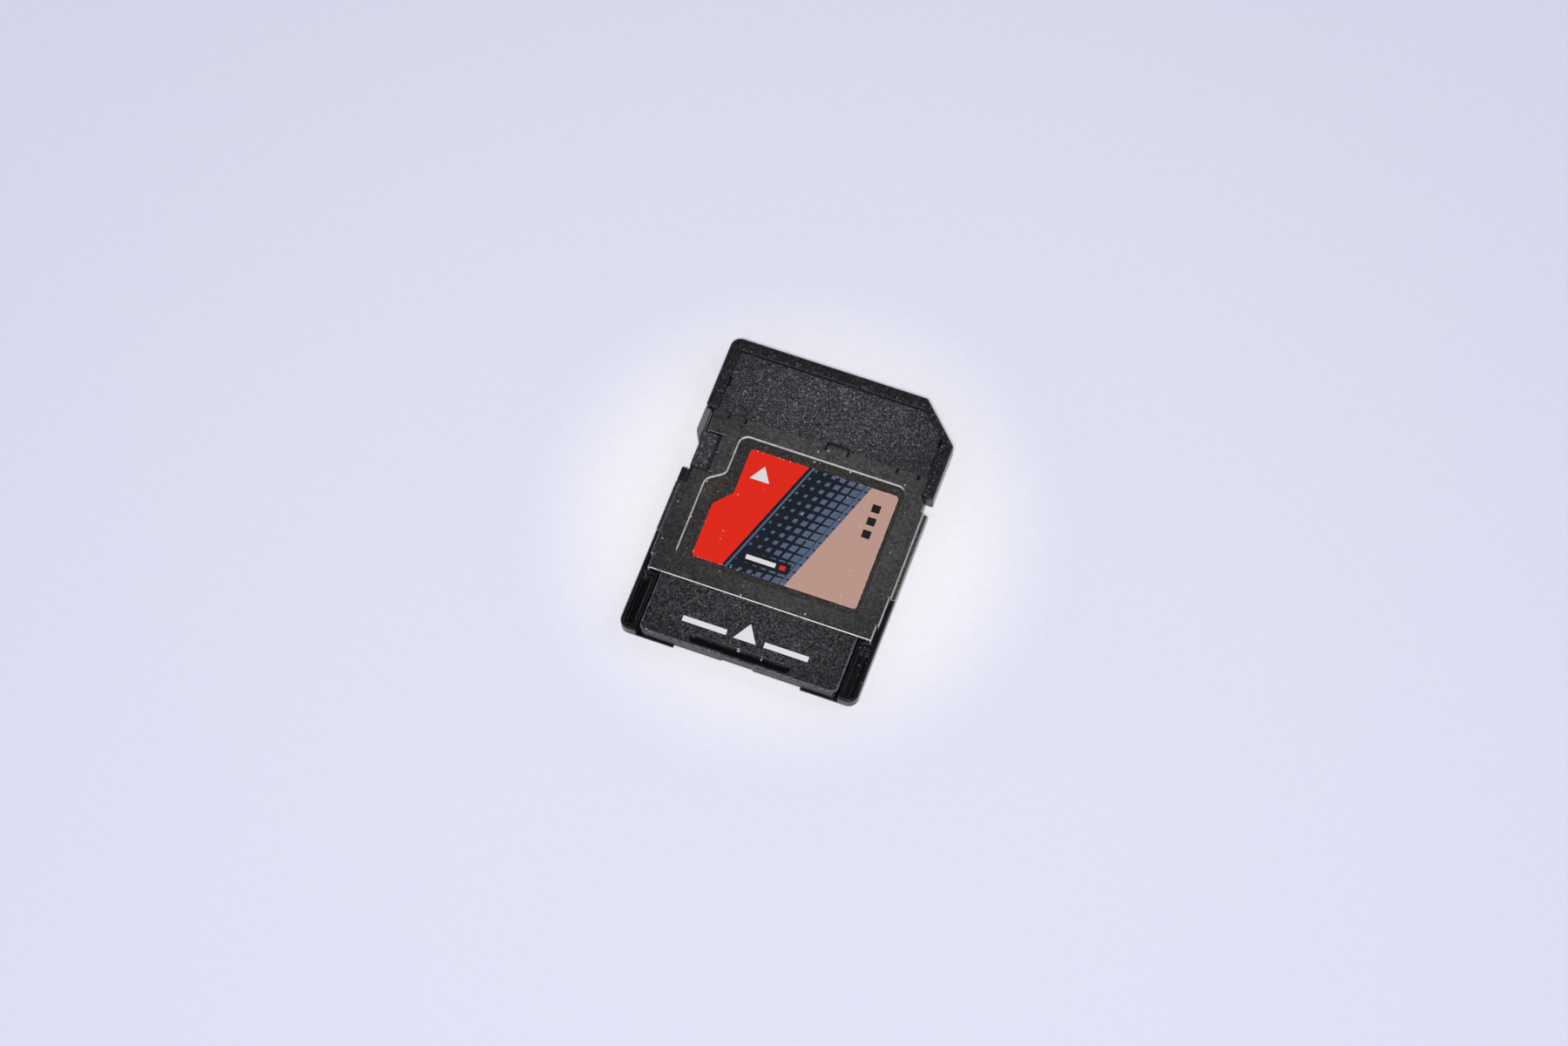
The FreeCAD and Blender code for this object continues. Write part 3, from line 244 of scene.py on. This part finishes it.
def black_plastic():
    """Moulded black frame: dark and smooth on the arms, grained on the rim and the sill."""
    paint = Paint("black_plastic")
    grain = paint.noise(5, 4, 0.7)
    patches = paint.noise(0.35, 3)
    up = paint.upward()

    # The rim and the sill stand above the side rails
    rim_rear = METAL_SEAM - 1.9
    sill_left, sill_right, sill_front = -11.5, -9.4, 5.6
    raised = paint.z.rise(RAIL_HIGH + 0.2, RAIL_HIGH + 0.3)
    rim = raised * paint.y.rise(rim_rear, rim_rear + 0.1)
    sill = (raised * (paint.z > RAIL_HIGH + 0.5) * paint.x.between(sill_left, sill_right)
            * paint.y.fall(sill_front, sill_front + 0.1))
    inner_edge = abs(paint.x).fall(11.3, 11.6) * paint.y.fall(15.1, 15.4)
    inside = abs(paint.x).fall(11.6, 11.7) * paint.z.rise(0.02, 0.05) * paint.z.fall(0.95, 1.3)

    # Grain, with lighter grains on the rim and the sill and painted glints over them, more by the
    # rim's inner edge
    pit, plain = (0.003, 0.003, 0.0035), (0.010, 0.0098, 0.0108)
    rim_grain, sill_grain = (0.026, 0.025, 0.027), (0.058, 0.057, 0.062)
    colour = paint.mix(grain.rise(0.4, 0.65), pit, plain)
    colour = paint.mix(rim * grain.rise(0.45, 0.62) * 0.6, colour, rim_grain)
    colour = paint.mix(sill * (grain.rise(0.42, 0.6) * 0.8 + 0.2), colour, sill_grain)
    rim_lights, sill_lights = inner_edge * 0.16 + 0.1, 0.45
    colour = paint.painted_glints(5, 0.5, colour, up * (rim * rim_lights + sill * sill_lights))

    # Painted shade, near black, in the hollows and in the gap round the sill
    hollow = (0.0022, 0.0022, 0.0026)
    beside_sill = paint.x.rise(-9.68, -9.62)
    behind_sill, ahead_of_sill = paint.y.fall(1.72, 1.78), paint.y.rise(5.42, 5.48)
    slot = sill * (beside_sill + behind_sill + ahead_of_sill)
    colour = paint.mix(inside.most(slot), colour, hollow)

    # Worn edges, partly wear and partly painted highlight, more on the arms; a painted highlight
    # along the wall of the left arm; a painted reflection that makes the side by the right foot
    # paler
    worn, shine, pale = (0.13, 0.13, 0.142), (0.17, 0.17, 0.18), (0.30, 0.30, 0.33)
    wear_and_highlight = (paint.edge_wear_and_highlight(0.12) * 8 * paint.noise(2.5, 3)).rise(0.2, 1.1)
    arms = paint.y.fall(metal_low.y, metal_low.y + 0.1)
    colour = paint.mix(wear_and_highlight * (arms * 0.3 + 0.4), colour, worn)
    # Painted highlight along the top of the left arm's wall
    left_wall = paint.patch(-10.6, -12.6, 0.05, 2.3)
    wall_highlight = left_wall * up * arms * paint.noise(1.6, 3).rise(0.3, 0.5)
    colour = paint.mix(wall_highlight, colour, shine)
    # Painted reflection that makes the side faces by the right foot paler
    foot_rear, foot_front = -4.9, 4.4
    side_reflection = ((paint.facing_across > 0.9) * paint.y.between(foot_rear, foot_front)
                   * paint.z.rise(0.7, 1.1))
    colour = paint.mix(side_reflection * 0.7, colour, pale)

    # Dust everywhere, and fluff in the right arm
    fluff = paint.specks(3.4, 0.3, 0.35) * paint.glow(10.9, -11.2, 0.7, 2)
    dust = (paint.specks(1.6, 0.1, 0.12) * 0.5).most(fluff) * up
    colour = paint.mix(dust, colour, (0.50, 0.52, 0.52))

    normal = paint.relief(grain, 0.012, paint.soft_edges(0.14))
    roughness = 0.16 + patches * 0.1 + raised * 0.2
    return paint.coat(base_color=colour, roughness=roughness, normal=normal, ior=1.45)


def grained_plastic():
    """Front panel: coarse spark-eroded grain, with painted glints and a painted sheen round the
    middle.
    """
    paint = Paint("grained_plastic")
    fine = paint.noise(5.5, 4, 0.75)
    patches = paint.noise(0.25, 2)
    middle = paint.glow(-0.5, 11.5, 12.5, 6)

    # Grain, with a painted sheen that makes it lighter round the middle, and painted glints over
    # it
    dim_pit, dim_peak = (0.003, 0.003, 0.004), (0.028, 0.028, 0.032)
    lit_pit, lit_peak = (0.005, 0.005, 0.007), (0.048, 0.048, 0.055)
    tone = patches * 0.25 + middle * 0.4 + 0.17
    dark = paint.mix(fine.rise(0.42, 0.58), dim_pit, dim_peak)
    light = paint.mix(fine.rise(0.42, 0.58), lit_pit, lit_peak)
    colour = paint.mix(middle, dark, light)
    colour = paint.painted_glints(8, 0.6, colour, tone * 0.5)
    colour = paint.painted_glints(5.6, 0.5, colour, tone * 0.6)
    colour = paint.painted_glints(4.6, 0.1, colour, tone * 1.2)

    # Painted shade in a broken black seam along the rim, and in the arch round the middle tab
    side_seam, front_seam = 0.08, 0.2
    at_sides = abs(paint.x) > cover_high.x - side_seam
    outline = at_sides.most(paint.y > cover_high.y - front_seam)
    seam = outline * paint.noise(1.5, 2).rise(0.34, 0.44)
    colour = paint.mix(seam, colour, GAP_BLACK)
    middle_tab = 1.6
    opening = paint.patch(middle_tab, METAL_SEAM + 0.06, 0.8, 0.18)
    arch = paint.patch(middle_tab, METAL_SEAM + 0.26, 1.2, 0.16) * (1 - opening)
    colour = paint.mix(arch, colour, GAP_BLACK)

    height = fine * 0.6 + paint.grains(5)[1] * 0.5
    normal = paint.relief(height, 0.03, paint.soft_edges(0.08))
    return paint.coat(base_color=colour, roughness=0.38 + fine * 0.2, normal=normal, ior=1.4)


def dark_metal():
    """Folded sheet: dark coating, warmer in the sunken panel, uncoated along its cut edges, with a
    painted sheen round the middle, painted glints and painted highlights.
    """
    paint = Paint("dark_metal")
    fine = paint.noise(3.6, 5, 0.75)
    cloud = paint.noise(0.3, 3, 0.55)
    floor = metal_high.z - PANEL_DEPTH
    sunken = paint.z.fall(floor + 0.02, floor + 0.04) * abs(paint.x).fall(9.4, 9.5)
    middle = paint.glow(1.5, 3, 15, 17)

    # Coating, with clouds and grime, a painted sheen that makes it lighter round the middle, and
    # painted glints for sparkle
    dim_pit, dim_peak = (0.006, 0.0060, 0.0058), (0.022, 0.0216, 0.0206)
    lit_pit, lit_peak = (0.026, 0.0255, 0.024), (0.082, 0.080, 0.076)
    sunken_pit, sunken_peak = (0.007, 0.0056, 0.0044), (0.043, 0.0355, 0.0285)
    dark = paint.mix(fine.rise(0.38, 0.62), dim_pit, dim_peak)
    light = paint.mix(fine.rise(0.38, 0.62), lit_pit, lit_peak)
    coating = paint.mix(middle * 0.8 + cloud * 0.3, dark, light)
    hollow = paint.mix(fine.rise(0.38, 0.62), sunken_pit, sunken_peak)
    colour = paint.mix(sunken, coating, hollow)
    colour = paint.mix(cloud.rise(0.5, 0.8) * 0.25, colour, (0.085, 0.080, 0.070))
    grime = paint.noise(1.4, 5, 0.7).rise(0.5, 0.72)
    colour = paint.mix(grime * 0.45, colour, (0.006, 0.0055, 0.005))
    colour = paint.painted_glints(6, 0.7, colour, 0.09)
    colour = paint.painted_glints(4, 0.12, colour, 0.3)

    # Painted shade in the slits round the sill's opening and beside the three tabs
    sill_middle, sill_ends = 3.6, (1.58, 5.62)
    tab_slits = (-9.47, -7.78, 0.47, 2.72, 7.77, 9.93)
    steep = paint.facing_up.fall(0.35, 0.6)
    slant = paint.facing_up.between(0.6, 0.8) * paint.z.rise(floor, floor + 0.005)
    ragged = paint.noise(4, 2) * 0.12 - 0.06
    slits = paint.patch(-9.44 + ragged, sill_middle, 0.13, 1.98)
    for y in sill_ends:
        slits = slits.most(paint.patch(-9.3, y + ragged, 0.4, 0.07))
    slits = slits.most(paint.patch(-9.2, sill_middle + ragged, 0.22, 0.14))
    for x in tab_slits:
        slits = slits.most(paint.patch(x + ragged, METAL_SEAM - 0.24, 0.17, 0.33))
    slits = slits * (paint.z > metal_high.z - 0.1)
    colour = paint.mix(slits, colour, GAP_BLACK)

    # Uncoated metal on cut edges, and painted highlights in the same pale colour on the slants of
    # the sunken panel that face the lamp and along the rear edge
    bare_metal_and_highlight = (0.86, 0.84, 0.80)
    lit_side = (paint.facing_across * 0.6 - paint.facing_ahead).rise(0.1, 0.5)
    slant = slant * (lit_side * 0.93 + 0.07) * (paint.noise(2, 3) * 0.9 + 0.25)
    rear_edge = (paint.y - metal_low.y).fall(0.05, 0.09)
    rear_shine = rear_edge * paint.noise(1.2, 2).rise(0.2, 0.4)
    bare_and_highlight = (steep * 0.8).most(slant).most(rear_shine)
    colour = paint.mix(bare_and_highlight, colour, bare_metal_and_highlight)

    dust = paint.specks(1.1, 0.12, 0.2) * paint.upward()
    colour = paint.mix(dust * 0.7, colour, (0.6, 0.58, 0.53))
    normal = paint.relief(fine, 0.006, paint.soft_edges(0.05))
    roughness = 0.38 - bare_and_highlight * 0.08 + cloud * 0.1
    return paint.coat(base_color=colour, metallic=bare_and_highlight * 0.5, roughness=roughness, normal=normal)


def label_film():
    """Printed film: two fields with a dotted one between, all on slanted straight borders."""
    paint = Paint("label_film")
    ink_grain = 9
    red = paint.mix(paint.noise(ink_grain, 2), (0.74, 0.014, 0.004), (0.86, 0.024, 0.007))
    peach = paint.mix(paint.noise(ink_grain, 2), (0.50, 0.29, 0.225), (0.57, 0.365, 0.29))
    navy = paint.mix(paint.noise(ink_grain, 2), (0.0055, 0.009, 0.0155), (0.009, 0.0135, 0.022))
    slate, white = (0.092, 0.125, 0.185), (0.80, 0.76, 0.74)
    dark_red, black = (0.70, 0.022, 0.010), (0.012, 0.011, 0.011)

    # Three fields on slanted borders, the middle one with squares that grow across it
    lean, pitch = 0.36, 0.92
    red_border, peach_border = -2.2, 4.2
    line_inset, line_half = 0.42, 0.11
    bar_y, bar_half_long, bar_half = -5.5, 1.5, 0.24
    slant = paint.x - paint.y * lean
    across = (slant / pitch).part() - 0.5
    along = (paint.y / pitch).part() - 0.5
    growth = slant.rise(red_border, peach_border)
    clear = 1 - paint.patch(-1, bar_y, 2.6, 0.6)
    square = (abs(across).most(abs(along)) < growth * 0.3 + 0.12) * clear
    from_middle = abs(slant - (red_border + peach_border) / 2)
    half_field = (peach_border - red_border) / 2
    lines = abs(from_middle - half_field + line_inset) < line_half
    colour = paint.mix(square.most(lines), navy, slate)
    colour = paint.mix(slant < red_border, colour, red)
    colour = paint.mix(slant > peach_border, colour, peach)

    # White triangle and bar, a red square and three black studs
    arrow_x, arrow_low, arrow_high, arrow_half = -4.35, 2.3, 3.9, 1.0
    up = (paint.y - arrow_low) / (arrow_high - arrow_low)
    arrow = (abs(paint.x - arrow_x) < (1 - up) * arrow_half) * (up > 0)
    bar = paint.patch(-1.35, bar_y, bar_half_long, bar_half)
    colour = paint.mix(arrow.most(bar), colour, white)
    colour = paint.mix(paint.patch(0.85, bar_y, 0.3, bar_half), colour, dark_red)
    stud_x, stud_half = 7.2, 0.42
    first, second, third = (
        paint.patch(stud_x, stud_y, stud_half, stud_half) for stud_y in (3.3, 1.9, 0.5))
    colour = paint.mix(first.most(second).most(third), colour, black)

    # Crumbs along the film's edge
    left, right = label_low.x, label_high.x
    rear, ahead = label_low.y, label_high.y
    inside = (paint.x - left).least(right - paint.x).least((paint.y - rear).least(ahead - paint.y))
    crumbs = paint.specks(4.5, 0.42, 0.4) * inside.fall(0.05, 0.14)
    specks = paint.specks(1.4, 0.1, 0.15)
    colour = paint.mix(crumbs.most(specks) * 0.75, colour, (0.78, 0.74, 0.66))

    normal = paint.relief(paint.noise(5, 3), 0.004, paint.soft_edges(0.04))
    roughness = 0.34 + paint.noise(1.2, 2) * 0.12
    return paint.coat(
        base_color=colour, roughness=roughness, normal=normal, specular_ior_level=0.3)


def grey_plastic():
    """Write lock: plain grey plastic."""
    paint = Paint("grey_plastic")
    grain = paint.noise(7, 2)
    colour = paint.mix(grain, (0.125, 0.125, 0.130), (0.165, 0.165, 0.172))
    normal = paint.relief(grain, 0.006, paint.soft_edges(0.12))
    return paint.coat(base_color=colour, roughness=0.42, normal=normal)


def card_plastic():
    """Small card: fine grain, with a plain white insertion mark."""
    paint = Paint("card_plastic")
    fine = paint.noise(4.8, 4, 0.75)
    patches = paint.noise(0.4, 2)
    up = paint.upward()
    top = up * (paint.z - card_high.z + 0.25).rise(0, 0.05)
    groove = up * paint.z.fall(card_high.z - 0.44, card_high.z - 0.4)
    middle = paint.glow(0, -11, 14, 7)

    # Grain, with a painted sheen that makes it lighter round the middle and painted glints on the
    # top, and painted shade that makes the thumb groove dark
    dim_pit, dim_peak = (0.003, 0.003, 0.0034), (0.023, 0.023, 0.024)
    lit_pit, lit_peak = (0.004, 0.004, 0.0044), (0.054, 0.054, 0.056)
    dark = paint.mix(fine.rise(0.42, 0.6), dim_pit, dim_peak)
    light = paint.mix(fine.rise(0.44, 0.58), lit_pit, lit_peak)
    colour = paint.mix(middle, dark, light)
    colour = paint.painted_glints(7, 0.6, colour, top * (middle * 0.1 + patches * 0.14))
    colour = paint.painted_glints(5, 0.35, colour, top * (middle * 0.1 + patches * 0.3))
    colour = paint.mix(groove, colour, (0.0022, 0.0023, 0.0025))

    # White triangle between two bars
    mark_y, mark_high, mark_half = -13.65, 1.85, 1.15
    bar_near, bar_far, bar_half = 1.9, 6.35, 0.28
    rise = (paint.y - mark_y) / mark_high
    arrow = (abs(paint.x) < (1 - rise) * mark_half) * (rise > 0)
    bars = (abs(paint.y - mark_y - bar_half) < bar_half) * abs(paint.x).between(bar_near, bar_far)
    ink = arrow.most(bars) * top * paint.noise(7, 2).rise(0.2, 0.32)
    colour = paint.mix(ink, colour, (0.80, 0.81, 0.82))

    # Dust, with two bits of fluff by the thumb groove
    fluff = paint.spot(-0.25, -14.62, 0.16, 0.1).most(paint.spot(2.1, -14.7, 0.05, 0.17))
    dust = (paint.specks(1.2, 0.1, 0.14) * top * 0.6).most(fluff)
    colour = paint.mix(dust, colour, (0.6, 0.6, 0.58))

    # Worn edges, partly wear and partly painted highlight, a painted highlight along the brim of
    # the top and a painted reflection that makes the rear face paler
    worn, brim_highlight_colour, rear_reflection_colour = (0.15, 0.15, 0.157), (0.16, 0.16, 0.17), (0.055, 0.055, 0.062)
    wear_and_highlight = (paint.edge_wear_and_highlight(0.1) * 10 * paint.noise(2, 3)).rise(0.2, 1.1)
    colour = paint.mix(wear_and_highlight * (1 - groove) * 0.5, colour, worn)
    brim_highlight = paint.facing_up.between(0.6, 0.8, 0.05) * (paint.z > card_high.z - 0.14)
    colour = paint.mix(brim_highlight * paint.noise(3, 3).rise(0.3, 0.6) * 0.8, colour, brim_highlight_colour)
    rear_reflection = (0 - paint.facing_ahead).rise(0.8, 0.95) * paint.z.rise(0.8, 1.3)
    colour = paint.mix(rear_reflection * 0.7, colour, rear_reflection_colour)

    normal = paint.relief(fine, 0.012, paint.soft_edges(0.18))
    roughness = (0.32 + fine * 0.15) * (1 - groove * 0.6)
    return paint.coat(base_color=colour, roughness=roughness, normal=normal, ior=1.42)


def gold_plate():
    """Contacts: gold plate with wipe marks along the pads."""
    paint = Paint("gold_plate")
    wiped = paint.noise(3, 3, 0.6, (2.5, 0.3, 1))
    colour = paint.mix(wiped, (0.72, 0.46, 0.17), (0.86, 0.60, 0.26))
    normal = paint.relief(wiped, 0.004, paint.soft_edges(0.03))
    return paint.coat(
        base_color=colour, metallic=1.0, roughness=0.22 + wiped * 0.15, normal=normal)


def board_green():
    """Circuit board: green solder mask with faint tracks."""
    paint = Paint("board")
    tracks = abs((paint.x * 1.4 + paint.noise(0.4) * 2).part() - 0.5).fall(0.12, 0.2)
    colour = paint.mix(tracks * 0.6, (0.008, 0.045, 0.022), (0.02, 0.09, 0.042))
    normal = paint.relief(tracks, 0.01, paint.soft_edges(0.03))
    return paint.coat(base_color=colour, roughness=0.35, normal=normal)


def chip_epoxy():
    """Chips: black epoxy with fine mould grain."""
    paint = Paint("chip")
    grain = paint.noise(14, 2)
    colour = paint.mix(grain, (0.010, 0.010, 0.011), (0.030, 0.030, 0.031))
    normal = paint.relief(grain, 0.01, paint.soft_edges(0.04))
    return paint.coat(base_color=colour, roughness=0.55, normal=normal)


def dress(material, *names):
    for name in names:
        piece = nodes[name]
        piece.data.materials.clear()
        piece.data.materials.append(material)


contacts = [name for name in nodes if name.startswith("contact_") and name != "contact_carrier"]
card_pads = [name for name in nodes if name.startswith("card_pad_")]
dress(black_plastic(), "base_frame", "contact_carrier")
dress(grained_plastic(), "front_cover")
dress(dark_metal(), "metal_cover")
dress(label_film(), "label")
dress(grey_plastic(), "lock_slider")
dress(card_plastic(), "card_top_shell", "card_bottom_shell")
dress(gold_plate(), *contacts, *card_pads)
dress(board_green(), "card_board")
dress(chip_epoxy(), "flash_chip", "controller_chip")


# Stage: a sheet of white paper, with a painted pool of light round the object that fades to
# painted shade further out

def paper_white():
    paint = Paint("paper")
    lit, shaded, distant = (1.0, 0.995, 1.0), (0.82, 0.82, 0.93), (0.775, 0.78, 0.895)
    away = (paint.x * paint.x + paint.y * paint.y) ** 0.5
    fibres = paint.noise(1.1, 4, 0.6)
    # Painted pool of light near the object, then painted shade towards the edges
    colour = paint.mix(away.rise(14, 28), lit, shaded)
    colour = paint.mix(away.rise(30, 95), colour, distant)
    colour = paint.mix(fibres.rise(0.4, 0.7) * 0.06, colour, (0.6, 0.6, 0.7))
    return paint.coat(base_color=colour, roughness=0.9, normal=paint.relief(fibres, 0.02))


def make_floor():
    half = 3.0  # metres
    low = -0.01 * MM  # just under the object
    mesh = bpy.data.meshes.new("paper")
    square = [(-half, -half, low), (half, -half, low), (half, half, low), (-half, half, low)]
    mesh.from_pydata(square, [], [(0, 1, 2, 3)])
    floor = bpy.data.objects.new("paper", mesh)
    bpy.context.scene.collection.objects.link(floor)
    mesh.materials.append(paper_white())


make_floor()


# Camera at the photograph's angle

def view_axes(azimuth, elevation, roll):
    """Right, up and backward directions of a camera that looks down at the object."""
    around, above, twist = (math.radians(angle) for angle in (azimuth, elevation, roll))
    back = Vector((
        math.sin(around) * math.cos(above), -math.cos(around) * math.cos(above), math.sin(above)))
    level = Vector((0, 0, 1)).cross(back).normalized()
    upright = back.cross(level)
    right = level * math.cos(twist) + upright * math.sin(twist)
    return right, back.cross(right), back


def make_camera():
    """The camera that was fitted to the photograph's corners, with places in millimetres."""
    right, up, back = view_axes(azimuth=22.219, elevation=66.639, roll=-2.310)
    distance, aim_right, aim_up, aim_high = 433.209, 0.946, 0.307, 1.0
    place = Vector((0, 0, aim_high)) + back * distance - right * aim_right - up * aim_up
    turn = Matrix((right, up, back)).transposed().to_4x4()
    camera = bpy.data.objects.new("camera", bpy.data.cameras.new("camera"))
    bpy.context.scene.collection.objects.link(camera)
    camera.data.lens = 103.63
    camera.data.sensor_width = 36
    camera.data.clip_start = 0.01
    camera.matrix_world = Matrix.Translation(place * MM) @ turn
    bpy.context.scene.camera = camera


def make_lamp(name, azimuth, elevation, distance, size, power, colour=(1, 1, 1)):
    """A square soft box that faces the object, in metres and watts."""
    back = view_axes(azimuth, elevation, 0)[2]
    lamp = bpy.data.objects.new(name, bpy.data.lights.new(name, "AREA"))
    bpy.context.scene.collection.objects.link(lamp)
    lamp.data.size = size
    lamp.data.energy = power
    lamp.data.color = colour
    lamp.location = back * distance
    lamp.rotation_euler = back.to_track_quat("Z", "Y").to_euler()


make_camera()
make_lamp(
    "key", azimuth=16, elevation=66, distance=0.9, size=0.2, power=6.2,
    colour=(0.985, 0.985, 1.03))
make_lamp("fill", azimuth=130, elevation=32, distance=1.1, size=0.5, power=0.8)


def make_world():
    """Dim above and pale round the horizon, like a studio with white walls."""
    horizon_height, horizon = 0.25, (0.55, 0.56, 0.62, 1)
    overhead_height, overhead = 0.7, (0.08, 0.08, 0.09, 1)
    world = bpy.data.worlds.new("studio")
    bpy.context.scene.world = world
    world.use_nodes = True
    tree = world.node_tree
    background = tree.nodes["Background"]
    direction = tree.nodes.new("ShaderNodeTexCoord")
    split = tree.nodes.new("ShaderNodeSeparateXYZ")
    ramp = tree.nodes.new("ShaderNodeValToRGB")
    tree.links.new(direction.outputs["Generated"], split.inputs[0])
    tree.links.new(split.outputs["Z"], ramp.inputs[0])
    tree.links.new(ramp.outputs["Color"], background.inputs["Color"])
    low, high = ramp.color_ramp.elements
    low.position, low.color = horizon_height, horizon
    high.position, high.color = overhead_height, overhead


make_world()
bpy.context.scene.view_settings.view_transform = "Standard"
